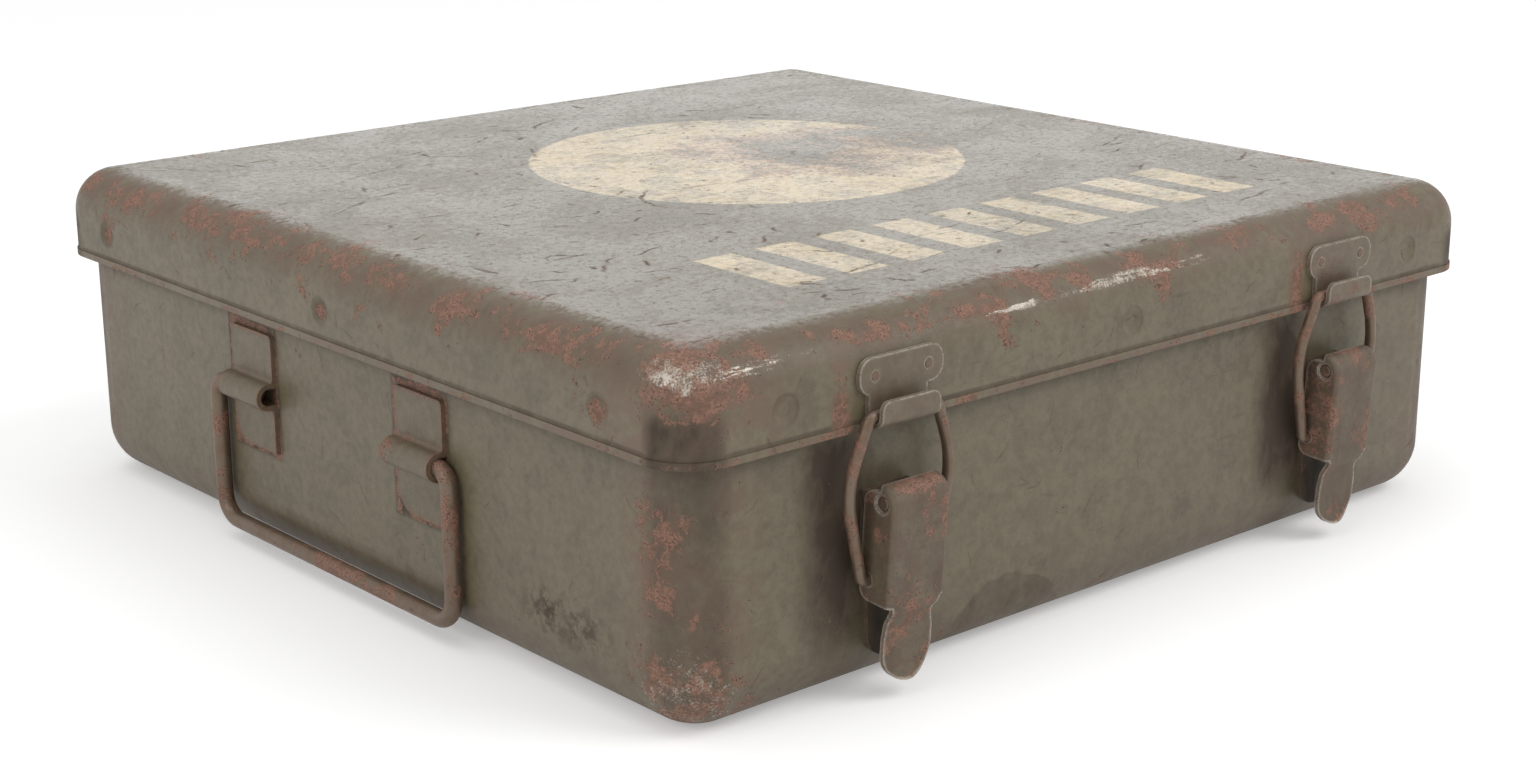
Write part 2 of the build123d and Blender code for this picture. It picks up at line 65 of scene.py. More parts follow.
# %% A helper for node trees
class Tree:
    def __init__(self, tree):
        self.tree = tree
        self.made = 0

    def node(self, kind, **settings):
        node = self.tree.nodes.new(kind)
        node.location = (200 * (self.made % 12), -260 * (self.made // 12))
        self.made += 1
        for name, value in settings.items():
            setattr(node, name, value)
        return node

    def feed(self, socket, value):
        if isinstance(value, bpy.types.NodeSocket):
            self.tree.links.new(value, socket)
        elif value is not None:
            socket.default_value = value

    def math(self, operation, first, second=None, clamp=False):
        node = self.node("ShaderNodeMath", operation=operation, use_clamp=clamp)
        self.feed(node.inputs[0], first)
        self.feed(node.inputs[1], second)
        return node.outputs[0]

    def add(self, first, second):
        return self.math("ADD", first, second)

    def take(self, first, second):
        return self.math("SUBTRACT", first, second)

    def times(self, first, *others):
        for other in others:
            first = self.math("MULTIPLY", first, other)
        return first

    def larger(self, first, *others):
        for other in others:
            first = self.math("MAXIMUM", first, other)
        return first

    def smaller(self, first, second):
        return self.math("MINIMUM", first, second)

    def size(self, value):
        return self.math("ABSOLUTE", value)

    def rises(self, value, low, high):
        node = self.node("ShaderNodeMapRange", interpolation_type="SMOOTHSTEP")
        self.feed(node.inputs["Value"], value)
        self.feed(node.inputs["From Min"], low)
        self.feed(node.inputs["From Max"], high)
        return node.outputs[0]

    def falls(self, value, low, high):
        return self.take(1.0, self.rises(value, low, high))

    def near(self, value, target, full, none):
        return self.falls(self.size(self.take(value, target)), full, none)

    def swing(self, value, span):
        return self.times(self.take(value, 0.5), span)

    def radius(self, first, second):
        return self.math("SQRT", self.add(self.times(first, first), self.times(second, second)))

    def distance(self, place, point):
        node = self.node("ShaderNodeVectorMath", operation="DISTANCE")
        self.feed(node.inputs[0], place)
        node.inputs[1].default_value = point
        return node.outputs["Value"]

    def noise(self, vector, scale, detail=3.0, roughness=0.55, distortion=0.0):
        node = self.node("ShaderNodeTexNoise")
        self.feed(node.inputs["Vector"], vector)
        self.feed(node.inputs["Scale"], scale)
        self.feed(node.inputs["Detail"], detail)
        self.feed(node.inputs["Roughness"], roughness)
        self.feed(node.inputs["Distortion"], distortion)
        return node.outputs["Fac"]

    def mapped(self, vector, turn=(0, 0, 0), scale=(1, 1, 1), shift=(0, 0, 0)):
        node = self.node("ShaderNodeMapping")
        self.feed(node.inputs["Vector"], vector)
        node.inputs["Location"].default_value = shift
        node.inputs["Rotation"].default_value = [radians(angle) for angle in turn]
        node.inputs["Scale"].default_value = scale
        return node.outputs[0]

    def parts(self, vector):
        node = self.node("ShaderNodeSeparateXYZ")
        self.feed(node.inputs[0], vector)
        return node.outputs[0], node.outputs[1], node.outputs[2]

    def joined(self, first, second):
        node = self.node("ShaderNodeCombineXYZ")
        self.feed(node.inputs[0], first)
        self.feed(node.inputs[1], second)
        return node.outputs[0]

    def mix(self, amount, first, second):
        node = self.node("ShaderNodeMix", data_type="RGBA")
        self.feed(node.inputs[0], amount)
        self.feed(node.inputs[6], first)
        self.feed(node.inputs[7], second)
        return node.outputs[2]

    def blend(self, amount, first, second):
        node = self.node("ShaderNodeMix", data_type="FLOAT")
        self.feed(node.inputs[0], amount)
        self.feed(node.inputs[2], first)
        self.feed(node.inputs[3], second)
        return node.outputs[0]

    def group(self, shared, **values):
        node = self.node("ShaderNodeGroup")
        node.node_tree = shared
        for name, value in values.items():
            self.feed(node.inputs[name.replace("_", " ")], value)
        return node.outputs


def new_group(name, inputs, outputs):
    shared = bpy.data.node_groups.new(name, "ShaderNodeTree")
    for socket_name, kind, start in inputs:
        socket = shared.interface.new_socket(socket_name, in_out="INPUT", socket_type=kind)
        if start is not None:
            socket.default_value = start
    for socket_name, kind in outputs:
        shared.interface.new_socket(socket_name, in_out="OUTPUT", socket_type=kind)
    tree = Tree(shared)
    entry = tree.node("NodeGroupInput")
    exit_node = tree.node("NodeGroupOutput")
    return shared, tree, entry.outputs, exit_node.inputs


FLOAT = "NodeSocketFloat"
COLOR = "NodeSocketColor"
VECTOR = "NodeSocketVector"


# %% [markdown]
# Colours were chosen beside the photograph, as ordinary screen values from 0 to 255. Blender
# wants linear light, so one function turns the first into the second.


# %% Palette
def screen_colour(red, green, blue):
    def linear(value):
        value = value / 255
        return value / 12.92 if value <= 0.04045 else ((value + 0.055) / 1.055) ** 2.4

    return (linear(red), linear(green), linear(blue), 1.0)


olive = screen_colour(112, 102, 80)
olive_dark = screen_colour(86, 78, 60)
stencil_cream = screen_colour(222, 200, 158)
rust_pink = screen_colour(140, 104, 86)
rust_brown = screen_colour(108, 82, 67)
rust_dark = screen_colour(62, 47, 38)
# One brown serves for grime and for painted shade.
grime_and_shade_brown = screen_colour(62, 50, 38)
stain_brown = screen_colour(108, 87, 70)
bright_steel = screen_colour(184, 176, 163)
fitting_olive = screen_colour(118, 106, 86)
dust_olive = screen_colour(136, 127, 106)
scuff_brown = screen_colour(162, 114, 84)
nick_brown = screen_colour(80, 58, 44)
worn_steel = screen_colour(114, 98, 83)
rubber_dark = screen_colour(34, 33, 32)
rubber_bloom = screen_colour(62, 60, 57)
print("olive in linear light:", [round(value, 3) for value in olive[:3]])

# %% [markdown]
# Scratches come from sliding the box in and out of lockers and from things pushed across its
# top: thin, nearly straight and in a few directions. Noise that is stretched along one direction
# has long contour lines. Keeping only a thin band around one contour gives lines, and a second,
# coarser noise breaks them into single strokes. Three turned copies make them cross.

# %% Scratches, a shared group
scratches, tree, entry, out = new_group(
    "scratches",
    [("Position", VECTOR, None), ("Width", FLOAT, 0.02), ("Amount", FLOAT, 0.5)],
    [("Mask", FLOAT)],
)
strokes = None
for turn, shift in (((0, 0, 20), 3), ((10, 25, 75), 17), ((30, -15, 140), 31)):
    turned = tree.mapped(entry["Position"], turn, (0.03, 0.3, 0.3), (shift, 0, 0))
    contour = tree.size(tree.take(tree.noise(turned, 1.0, 1.5), 0.5))
    line = tree.falls(contour, 0.0, entry["Width"])
    coarse = tree.mapped(entry["Position"], turn, (0.03, 0.08, 0.08), (0, shift, 0))
    patches = tree.noise(coarse, 1.0, 2.0)
    kept = tree.rises(tree.add(patches, tree.times(entry["Amount"], 0.3)), 0.7, 0.8)
    stroke = tree.times(line, kept)
    strokes = stroke if strokes is None else tree.larger(strokes, stroke)
tree.feed(out["Mask"], strokes)
print("scratch group:", len(scratches.nodes), "nodes")

# %% [markdown]
# The nicks on the top are short and point every way, because things were set down on it. Voronoi
# cells give one random colour per cell. Its red channel turns a short line, its green channel
# bends it and its blue channel sets its length, so each cell holds one nick of its own. The green
# channel, multiplied and cut to its fraction, also decides whether the cell has a nick at all.

# %% Nicks, a shared group
nicks, tree, entry, out = new_group(
    "nicks",
    [
        ("Position", VECTOR, None),
        ("Cell", FLOAT, 14.0),
        ("Length", FLOAT, 6.0),
        ("Width", FLOAT, 0.3),
        ("Share", FLOAT, 0.6),
    ],
    [("Mask", FLOAT)],
)
ripple = tree.noise(entry["Position"], 0.25, 3.0)
cells = tree.node("ShaderNodeTexVoronoi", voronoi_dimensions="2D")
tree.feed(cells.inputs["Vector"], entry["Position"])
tree.feed(cells.inputs["Scale"], tree.math("DIVIDE", 1.0, entry["Cell"]))
local = tree.node("ShaderNodeVectorMath", operation="SUBTRACT")
tree.feed(local.inputs[0], entry["Position"])
tree.feed(local.inputs[1], cells.outputs["Position"])
local_x, local_y, _ = tree.parts(local.outputs[0])
turn_chance, bend_chance, length_chance = tree.parts(cells.outputs["Color"])
angle = tree.times(turn_chance, pi)
cosine = tree.math("COSINE", angle)
sine = tree.math("SINE", angle)
along_nick = tree.add(tree.times(local_x, cosine), tree.times(local_y, sine))
across_nick = tree.take(tree.times(local_y, cosine), tree.times(local_x, sine))
bend = tree.swing(bend_chance, tree.times(along_nick, along_nick, 0.06))
across_nick = tree.add(tree.add(across_nick, bend), tree.swing(ripple, 3.0))
thin = tree.falls(tree.size(across_nick), tree.times(entry["Width"], 0.2), entry["Width"])
half_length = tree.times(entry["Length"], tree.add(0.25, tree.times(length_chance, 0.75)))
ends = tree.falls(tree.size(along_nick), tree.times(half_length, 0.5), half_length)
reshuffle = 7.31
chance = tree.math("FRACT", tree.times(bend_chance, reshuffle))
chosen = tree.math("LESS_THAN", chance, entry["Share"])
tree.feed(out["Mask"], tree.times(thin, ends, chosen))
print("nick group:", len(nicks.nodes), "nodes")

# %% [markdown]
# Rust starts in spots, joins into patches and never has one colour. Three sizes of noise are
# added, the broad one strongest, so that patches form first and the finer ones only fray their
# edges. The sum is compared with a threshold that the material moves: Amount 0 gives next to
# none, Amount 1 covers nearly everything. The same noises tint the patch from pinkish to dark
# brown.

# %% Rust, a shared group
rust, tree, entry, out = new_group(
    "rust",
    [("Position", VECTOR, None), ("Amount", FLOAT, 0.3)],
    [("Mask", FLOAT), ("Color", COLOR), ("Grain", FLOAT)],
)
broad = tree.noise(entry["Position"], 0.095, 4.0, 0.6, 0.4)
middle = tree.noise(entry["Position"], 0.4, 6.0, 0.72, 0.4)
fine = tree.noise(entry["Position"], 2.2, 3.0, 0.7)
field = tree.add(tree.add(tree.times(broad, 0.8), tree.times(middle, 0.5)), tree.times(fine, 0.3))
field = tree.add(tree.take(field, 0.3), tree.swing(entry["Amount"], 0.5))
tree.feed(out["Mask"], tree.rises(field, 0.5, 0.54))
tint = tree.mix(tree.rises(middle, 0.42, 0.58), rust_brown, rust_pink)
pits = tree.rises(tree.add(tree.times(fine, 0.6), tree.times(middle, 0.4)), 0.52, 0.6)
tree.feed(out["Color"], tree.mix(tree.times(pits, 0.85), tint, rust_dark))
tree.feed(out["Grain"], fine)
print("rust group:", len(rust.nodes), "nodes")

# %% [markdown]
# Small fittings lose their paint on every edge. The Bevel node answers what the surface normal
# would be if the edges were rounded. Where that differs from the true normal there is an edge
# nearby, and the amount of difference is a mask that needs no painting by hand.

# %% Edge wear, a shared group
edge_wear, tree, entry, out = new_group(
    "edge wear",
    [("Position", VECTOR, None), ("Reach", FLOAT, 0.0006), ("Amount", FLOAT, 0.5)],
    [("Mask", FLOAT)],
)
rounded = tree.node("ShaderNodeBevel", samples=4)
tree.feed(rounded.inputs["Radius"], entry["Reach"])
true_normal = tree.node("ShaderNodeNewGeometry").outputs["Normal"]
agreement = tree.node("ShaderNodeVectorMath", operation="DOT_PRODUCT")
tree.feed(agreement.inputs[0], rounded.outputs[0])
tree.feed(agreement.inputs[1], true_normal)
edge = tree.rises(tree.take(1.0, agreement.outputs["Value"]), 0.005, 0.1)
chips = tree.noise(entry["Position"], 0.45, 5.0, 0.7)
worn = tree.rises(tree.add(tree.times(edge, 0.5), tree.add(chips, entry["Amount"])), 1.2, 1.4)
tree.feed(out["Mask"], tree.times(worn, edge))
print("edge wear group:", len(edge_wear.nodes), "nodes")

# %% [markdown]
# One group holds the whole aged paint: mottled olive, then a brown stain, grime mixed with painted
# shade, scratches, rust and bare metal laid over it in the order in which the wear happens. Each
# material only has to say how much of each belongs where.

# %% Aged paint, a shared group
aged_paint, tree, entry, out = new_group(
    "aged paint",
    [
        ("Position", VECTOR, None),
        ("Paint", COLOR, olive),
        ("Rust", FLOAT, 0.1),
        ("Bare", FLOAT, 0.0),
        ("Stain", FLOAT, 0.0),
        ("Nick", FLOAT, 0.0),
        ("Grime", FLOAT, 0.2),
        ("Scratch", FLOAT, 0.3),
    ],
    [("Color", COLOR), ("Roughness", FLOAT), ("Metallic", FLOAT), ("Height", FLOAT)],
)
place = entry["Position"]
cloud = tree.noise(place, 0.018, 3.0, 0.5)
speckle = tree.noise(place, 0.5, 5.0, 0.7)
blotch = tree.noise(place, 0.11, 5.0, 0.65, 0.4)
grit = tree.noise(place, 2.4, 3.0, 0.75)
shade = tree.times(tree.rises(cloud, 0.35, 0.65), 0.25)
shade = tree.add(shade, tree.times(tree.rises(speckle, 0.42, 0.62), 0.4))
shade = tree.add(shade, tree.times(tree.rises(blotch, 0.46, 0.62), 0.4))
shade = tree.add(shade, tree.times(tree.rises(grit, 0.45, 0.65), 0.3))
surface = tree.mix(tree.times(shade, 0.8), entry["Paint"], olive_dark)
dust = tree.times(tree.rises(grit, 0.56, 0.66), tree.falls(speckle, 0.4, 0.5))
surface = tree.mix(tree.times(dust, 0.45), surface, dust_olive)
thinned = tree.add(tree.rises(blotch, 0.42, 0.56), tree.times(tree.rises(speckle, 0.45, 0.58), 0.5))
thinned = tree.math("MULTIPLY", entry["Stain"], tree.add(0.1, thinned), clamp=True)
surface = tree.mix(thinned, surface, stain_brown)
smear = tree.noise(tree.mapped(place, (0, 0, 12), (1, 1, 0.5)), 0.16, 5.0, 0.65, 0.3)
# Grime and painted shade share one brown, spread by a smeared noise.
dirt_and_shade = tree.math("MULTIPLY", entry["Grime"], tree.add(0.8, tree.rises(smear, 0.3, 0.75)), clamp=True)
surface = tree.mix(dirt_and_shade, surface, grime_and_shade_brown)
stroke = tree.group(scratches, Position=place, Width=0.014, Amount=entry["Scratch"])["Mask"]
stroke = tree.times(stroke, tree.rises(entry["Scratch"], 0.0, 0.5))
stroke = tree.larger(tree.times(stroke, 0.3), entry["Nick"])
surface = tree.mix(stroke, surface, nick_brown)
spot = tree.group(rust, Position=place, Amount=entry["Rust"])
surface = tree.mix(spot["Mask"], surface, spot["Color"])
glint = tree.add(tree.swing(speckle, 0.9), tree.swing(grit, 1.1))
bare = tree.rises(tree.add(entry["Bare"], glint), 0.5, 0.9)
surface = tree.mix(bare, surface, bright_steel)
tree.feed(out["Color"], surface)
rough = tree.blend(speckle, 0.36, 0.5)
rough = tree.blend(dirt_and_shade, rough, 0.78)
rough = tree.blend(tree.larger(spot["Mask"], stroke), rough, 0.75)
tree.feed(out["Roughness"], tree.blend(bare, rough, 0.42))
tree.feed(out["Metallic"], tree.times(bare, 0.45))
lifted = tree.take(tree.times(speckle, 0.12), tree.times(stroke, 0.25))
pitted = tree.take(tree.times(spot["Grain"], 0.5), 0.5)
tree.feed(out["Height"], tree.blend(spot["Mask"], lifted, pitted))
print("aged paint group:", len(aged_paint.nodes), "nodes")


# %% [markdown]
# Every material starts the same way. The object coordinates of a CAD piece are its true place in
# metres, so they are multiplied by a thousand and the masks can be written in millimetres. They
# stay with the piece when the lid opens or a latch turns. The depth of the relief is in metres.

# %% Start and end of a material
millimetres = (1000, 1000, 1000)
relief_depth = 0.0002
coat_roughness = 0.22


def start_material(name):
    material = bpy.data.materials.new(name)
    material.use_nodes = True
    material.node_tree.nodes.clear()
    tree = Tree(material.node_tree)
    coordinates = tree.node("ShaderNodeTexCoord").outputs["Object"]
    return material, tree, tree.mapped(coordinates, scale=millimetres)


def end_material(tree, color, roughness, metallic=None, height=None, bump=0.35, gloss=None):
    shader = tree.node("ShaderNodeBsdfPrincipled")
    tree.feed(shader.inputs["Base Color"], color)
    tree.feed(shader.inputs["Roughness"], roughness)
    tree.feed(shader.inputs["Metallic"], metallic)
    if height is not None:
        relief = tree.node("ShaderNodeBump")
        relief.inputs["Strength"].default_value = bump
        relief.inputs["Distance"].default_value = relief_depth
        tree.feed(relief.inputs["Height"], height)
        tree.feed(shader.inputs["Normal"], relief.outputs[0])
    if gloss is not None:
        shader.inputs["Coat Roughness"].default_value = coat_roughness
        tree.feed(shader.inputs["Coat Weight"], gloss)
    output = tree.node("ShaderNodeOutputMaterial")
    tree.feed(output.inputs["Surface"], shader.outputs[0])


def end_aged(tree, finish, bump=0.35, gloss=None):
    color = finish["Color"]
    roughness = finish["Roughness"]
    end_material(tree, color, roughness, finish["Metallic"], finish["Height"], bump, gloss)


# %% [markdown]
# The nick group works in a flat plane. On an upright wall that plane is the way along the wall
# and the height, and the wall that a point belongs to is the one it lies nearest to.


# %% Nicks on the walls
def nicks_on_walls(tree, place, half_x, half_y, **sizes):
    x, y, z = tree.parts(place)
    past_front = tree.take(tree.size(y), half_y)
    past_side = tree.take(tree.size(x), half_x)
    faces_front = tree.math("GREATER_THAN", past_front, past_side)
    wall_place = tree.joined(tree.blend(faces_front, y, x), z)
    return tree.group(nicks, Position=wall_place, Width=0.3, **sizes)["Mask"]


# %% [markdown]
# The lid is worn most where hands and other boxes touch it: on the rounded edge all round its
# top. Over that edge the distance in from the side shrinks while the distance down grows, so
# their difference is a ruler that runs across the edge and reads zero in its middle. The front
# edge and the near corner are rubbed to bright metal.

# %% Lid, where the wear is
lid_half_x = 120.65
lid_half_y = 119.75
lid_top = 75.8
lid_low = 55.0
lid_corner = (-113.0, -112.0, 68.0)

lid_paint, tree, place = start_material("lid paint")
x, y, z = tree.parts(place)
inward = tree.smaller(tree.take(lid_half_x, tree.size(x)), tree.take(lid_half_y, tree.size(y)))
down = tree.take(lid_top, z)
ruler = tree.take(inward, down)
wander = tree.swing(tree.noise(place, 0.06, 7.0, 0.78), 24.0)
from_edge = tree.size(tree.add(tree.take(ruler, 1.0), wander))
rubbed = tree.falls(from_edge, 1.0, 12.0)

to_corner = tree.distance(place, lid_corner)
near_corner = tree.falls(to_corner, 5.0, 27.0)
front_side = tree.rises(tree.times(y, -1.0), 104.0, 112.0)
left_side = tree.rises(tree.times(x, -1.0), 106.0, 113.0)
outward = tree.add(tree.take(tree.size(x), lid_half_x), tree.take(tree.size(y), lid_half_y))
upright = tree.rises(outward, -12.0, -8.0)

# %% [markdown]
# Bare metal shows as broken streaks along the front edge, near the left end and in two places
# between the latches. A noise that is stretched along X draws the streaks, and the ruler keeps
# them on the upper part of the rounding.

# %% Lid, bare metal
streaks = tree.noise(tree.mapped(place, scale=(0.04, 0.3, 0.3)), 1.0, 5.0, 0.7)
left_end = tree.falls(x, -112.0, -62.0)
short_place = tree.near(x, -40.0, 9.0, 18.0)
long_place = tree.near(x, 4.0, 14.0, 48.0)
along = tree.larger(left_end, short_place, tree.times(long_place, 0.8))
streak_place = tree.near(ruler, -2.0, 0.5, 4.5)
front_bare = tree.times(streak_place, front_side, along, tree.rises(streaks, 0.4, 0.6))
corner_bare = tree.times(tree.falls(to_corner, 3.0, 17.0), tree.near(ruler, 0.0, 2.0, 8.0))
hem_bare = tree.falls(z, lid_low, lid_low + 0.7)
bare_amount = tree.larger(
    tree.times(front_bare, 0.9),
    tree.times(corner_bare, 0.72),
    tree.times(hem_bare, 0.36),
)

# %% [markdown]
# Rust follows the rubbed edge and the near corner, the hem, the dimples and the left edge of each
# latch plate. The dimples repeat at one spacing on every side, so a fold of x or y at half that
# spacing turns them all into one.

# %% Lid, rust, grime, painted shade and stain
dimple_spacing = 95.8
dimple_height = 62.7
plate_edges = (-82.0, 54.5)

folded_x = tree.math("PINGPONG", x, dimple_spacing / 2)
folded_y = tree.math("PINGPONG", y, dimple_spacing / 2)
on_front = tree.rises(tree.size(y), lid_half_y - 0.75, lid_half_y - 0.15)
along_side = tree.blend(on_front, folded_y, folded_x)
dimple_radius = tree.radius(along_side, tree.take(z, dimple_height))
in_dimple = tree.times(tree.falls(dimple_radius, 1.2, 4.2), tree.falls(z, 70.0, 72.0))

hem = tree.falls(tree.take(z, lid_low), 0.8, 2.4)
beside_plate = tree.larger(*(tree.near(x, edge_x, 0.5, 5.0) for edge_x in plate_edges))
beside_plate = tree.times(beside_plate, front_side, tree.falls(z, 68.0, 71.0))

edge_rust = tree.times(rubbed, tree.add(0.52, tree.times(left_side, 0.03)))
corner_rust = tree.times(near_corner, tree.blend(tree.rises(z, 61.0, 69.0), 0.36, 0.56))
rust_amount = tree.larger(
    edge_rust,
    corner_rust,
    tree.times(tree.falls(from_edge, 8.0, 24.0), 0.33),
    tree.times(tree.near(ruler, -1.0, 1.0, 4.5), 0.54),
    tree.times(hem, 0.4),
    tree.times(in_dimple, 0.5),
    tree.times(beside_plate, 0.6),
    0.12,
)

above_hem = tree.near(z, lid_low + 2.0, 0.1, 0.7)
# Painted shade: a dark band down the upright corners of the skirt, where their reflection is dark.
shaded_skirt_corner = tree.times(upright, tree.falls(z, 62.0, 68.0))
grime_and_shade_amount = tree.larger(
    tree.times(rubbed, 0.22),
    tree.times(in_dimple, 0.4),
    tree.times(above_hem, 0.4),
    tree.times(shaded_skirt_corner, 0.68),
)
stain_amount = tree.larger(
    tree.times(rubbed, 0.72),
    tree.times(beside_plate, 0.8),
    tree.times(hem, 0.6),
    tree.times(near_corner, 0.9),
)

# %% [markdown]
# The top carries a worn stencil. Here it is a plain cream disc and a row of plain blocks,
# both cut by formulas on x and y. The disc is scuffed brown right of its middle, and in the worst
# places the olive shows through. Two thresholds of one noise field give the brown around the
# olive, as wear does.

# %% Lid, the stencil
disc_x, disc_y = 10.4, 14.2
disc_edge = 53.0
bar_pitch = 16.8
bar_shift = 408.0
row_left, row_right = -70.0, 80.0
row_near, row_far = -90.5, -61.0
scuff_x, scuff_y = 34.0, 8.0

on_top = tree.rises(z, lid_top - 0.5, lid_top - 0.2)
disc_radius = tree.radius(tree.take(x, disc_x), tree.take(y, disc_y))
ragged = tree.swing(tree.noise(place, 0.9, 3.0), 1.4)
disc = tree.falls(tree.add(disc_radius, ragged), disc_edge, disc_edge + 0.9)

bar_wave = tree.math("PINGPONG", tree.add(x, bar_shift), bar_pitch / 2)
bars = tree.rises(tree.add(bar_wave, tree.times(ragged, 0.5)), 3.0, 3.4)
row_length = tree.times(tree.rises(x, row_left, row_left + 0.8), tree.falls(x, row_right, row_right + 0.8))
row_height = tree.times(tree.rises(y, row_near, row_near + 0.6), tree.falls(y, row_far, row_far + 0.6))
bars = tree.times(bars, tree.times(row_length, row_height))

worn_radius = tree.radius(tree.times(tree.take(x, scuff_x), 0.75), tree.take(y, scuff_y))
worn_noise = tree.noise(tree.mapped(place, (0, 0, 40), (1.0, 0.6, 1)), 0.055, 7.0, 0.72, 0.3)
worn_fine = tree.noise(place, 0.9, 4.0, 0.7)
worn_disc = tree.add(tree.falls(worn_radius, 12.0, 50.0), tree.swing(worn_noise, 3.2))
worn_disc = tree.add(worn_disc, tree.swing(worn_fine, 1.6))
scuffed = tree.rises(worn_disc, 0.56, 0.68)
disc_left = tree.falls(worn_disc, 0.88, 0.94)
chips_left = tree.falls(tree.noise(place, 0.35, 5.0, 0.7), 0.6, 0.66)
cream = tree.times(on_top, tree.times(tree.larger(tree.times(disc, disc_left), bars), chips_left))
cream_tint = tree.mix(tree.times(scuffed, disc, 0.7), stencil_cream, scuff_brown)
paint_tint = tree.mix(cream, olive, cream_tint)

# %% [markdown]
# Nicks of two sizes cross the top. Squeezing one axis of their position combs them into a common
# direction, and a broad noise fades whole groups of them. The same nicks, laid on the walls, give
# the few short marks there. The top is glossy. Dull patches, the nicks and the rubbed edge break
# the gloss.

# %% Lid, nicks and gloss
combed = tree.mapped(place, (0, 0, 38), (0.62, 1, 1))
short_nicks = tree.group(nicks, Position=combed, Cell=8.0, Length=4.0, Width=0.5, Share=0.55)["Mask"]
shifted = tree.mapped(place, (0, 0, 33), (0.7, 1, 1), (57, 21, 0))
long_nicks = tree.group(nicks, Position=shifted, Cell=24.0, Length=14.0, Width=0.55, Share=0.6)["Mask"]
faded = tree.rises(tree.noise(place, 0.16, 4.0, 0.6), 0.36, 0.54)
top_nicks = tree.times(tree.larger(short_nicks, tree.times(long_nicks, 0.9)), tree.times(on_top, faded))
crowded = tree.rises(tree.noise(place, 0.02, 2.0), 0.42, 0.58)
crowded = tree.larger(crowded, tree.falls(tree.add(x, y), -130.0, -40.0))
top_nicks = tree.times(top_nicks, tree.add(0.35, tree.times(crowded, 0.65)))
wall_nicks = nicks_on_walls(tree, place, lid_half_x, lid_half_y, Cell=12.0, Length=3.5, Share=0.35)
wall_nicks = tree.times(wall_nicks, 0.5, tree.falls(z, 70.0, 74.0))
nick_amount = tree.larger(top_nicks, wall_nicks)

finish = tree.group(
    aged_paint,
    Position=place,
    Paint=paint_tint,
    Rust=rust_amount,
    Bare=bare_amount,
    Stain=stain_amount,
    Grime=grime_and_shade_amount,
    Nick=nick_amount,
    Scratch=tree.blend(on_top, 0.4, 0.75),
)
dulling = tree.add(tree.noise(place, 0.6, 4.0, 0.7), tree.noise(place, 0.035, 5.0, 0.65, 0.5))
polish = tree.blend(tree.rises(dulling, 0.88, 1.14), 1.0, 0.55)
frayed = tree.add(rubbed, tree.swing(tree.noise(place, 0.7, 5.0, 0.8), 5.0))
polish = tree.times(polish, tree.falls(frayed, 0.15, 0.6), tree.rises(z, lid_top - 0.9, lid_top - 0.1))
polish = tree.times(polish, tree.take(1.0, tree.times(nick_amount, 0.8)))
end_aged(tree, finish, gloss=polish)
print("lid paint:", len(lid_paint.node_tree.nodes), "nodes")

# %% [markdown]
# The case body is cleaner than the lid. Rust sits on its upright corners and along its rounded
# floor edge, worst at the near corner. To the left of each latch lies a soft painted shadow of the
# latch, and painted shade darkens the case just under the lid and down each upright corner. A patch
# is drawn longer along one axis by squeezing that axis before the distance is measured. Its centre
# on that axis is then the true place times the squeeze, so the tall rust patch with its centre at 20
# sits 36 mm up.

# %% Case body
case_half_x = 117.85
case_half_y = 116.95
case_corner = (-113.0, -112.0, 6.0)
latch_places = (-68.2, 68.2)
latch_shadow_half = 13.0
patch_squeeze = 0.55
patch_center = (-116.0, -108.0, 20.0)

case_paint, tree, place = start_material("case paint")
x, y, z = tree.parts(place)
outward = tree.add(tree.take(tree.size(x), case_half_x), tree.take(tree.size(y), case_half_y))
upright = tree.rises(outward, -24.0, -11.0)
low = tree.falls(z, 3.0, 16.0)
near_corner = tree.falls(tree.distance(place, case_corner), 6.0, 24.0)
squeezed = tree.mapped(place, scale=(1, 1, patch_squeeze))
corner_patch = tree.falls(tree.distance(squeezed, patch_center), 2.0, 13.0)

# Painted shadow: a soft dark patch to the left of each latch stands in for the shadow it casts.
latch_shadow = tree.larger(*(tree.near(x, latch_x - latch_shadow_half, 1.0, latch_shadow_half) for latch_x in latch_places))
latch_shadow = tree.times(latch_shadow, tree.rises(tree.times(y, -1.0), 114.0, 116.0))
latch_shadow = tree.times(latch_shadow, tree.times(tree.rises(z, 4.0, 22.0), tree.falls(z, 50.0, 58.0)))
# Painted shade on the case just under the rim of the lid.
shade_under_lid = tree.rises(z, 50.0, 56.0)

# %% [markdown]
# Water once stood at the foot of the front and left a tide mark with a hard upper edge. A low
# arch, compared with the height on the wall, draws it. The left side has a dark rubbed place
# near the corner, where the box was pushed against something.

# %% Case, tide mark and rubbed place
tide_middle = -33.0
tide_height = 15.0
rub_squeeze = 0.4
rub_center = (-116.0, -80.0 * rub_squeeze, 16.0)

tide_x = tree.take(x, tide_middle)
tide_top = tree.take(tide_height, tree.times(tide_x, tide_x, 0.03))
tide_top = tree.add(tide_top, tree.swing(tree.noise(place, 0.2, 4.0), 4.0))
tide = tree.times(tree.rises(tree.take(tide_top, z), 0.0, 0.8), tree.rises(tree.times(y, -1.0), 100.0, 104.0))
squeezed = tree.mapped(place, scale=(1, rub_squeeze, 1))
rub = tree.falls(tree.distance(squeezed, rub_center), 2.0, 8.0)
rub = tree.times(rub, tree.rises(tree.noise(place, 0.25, 6.0, 0.7), 0.42, 0.6))

# %% [markdown]
# Water that sits against the straps of the handle has rusted a thin line into the case all round
# them, and the same line is darkened as a painted shadow of the strap edges. The line is where the
# distance to the strap's rectangle, taken as the larger of the two overshoots, is close to zero.

# %% Case, rust and painted shadow round the straps
strap_places = (34.1, -32.3)
strap_half_width = 8.6
strap_middle = 38.05
strap_half_height = 13.55


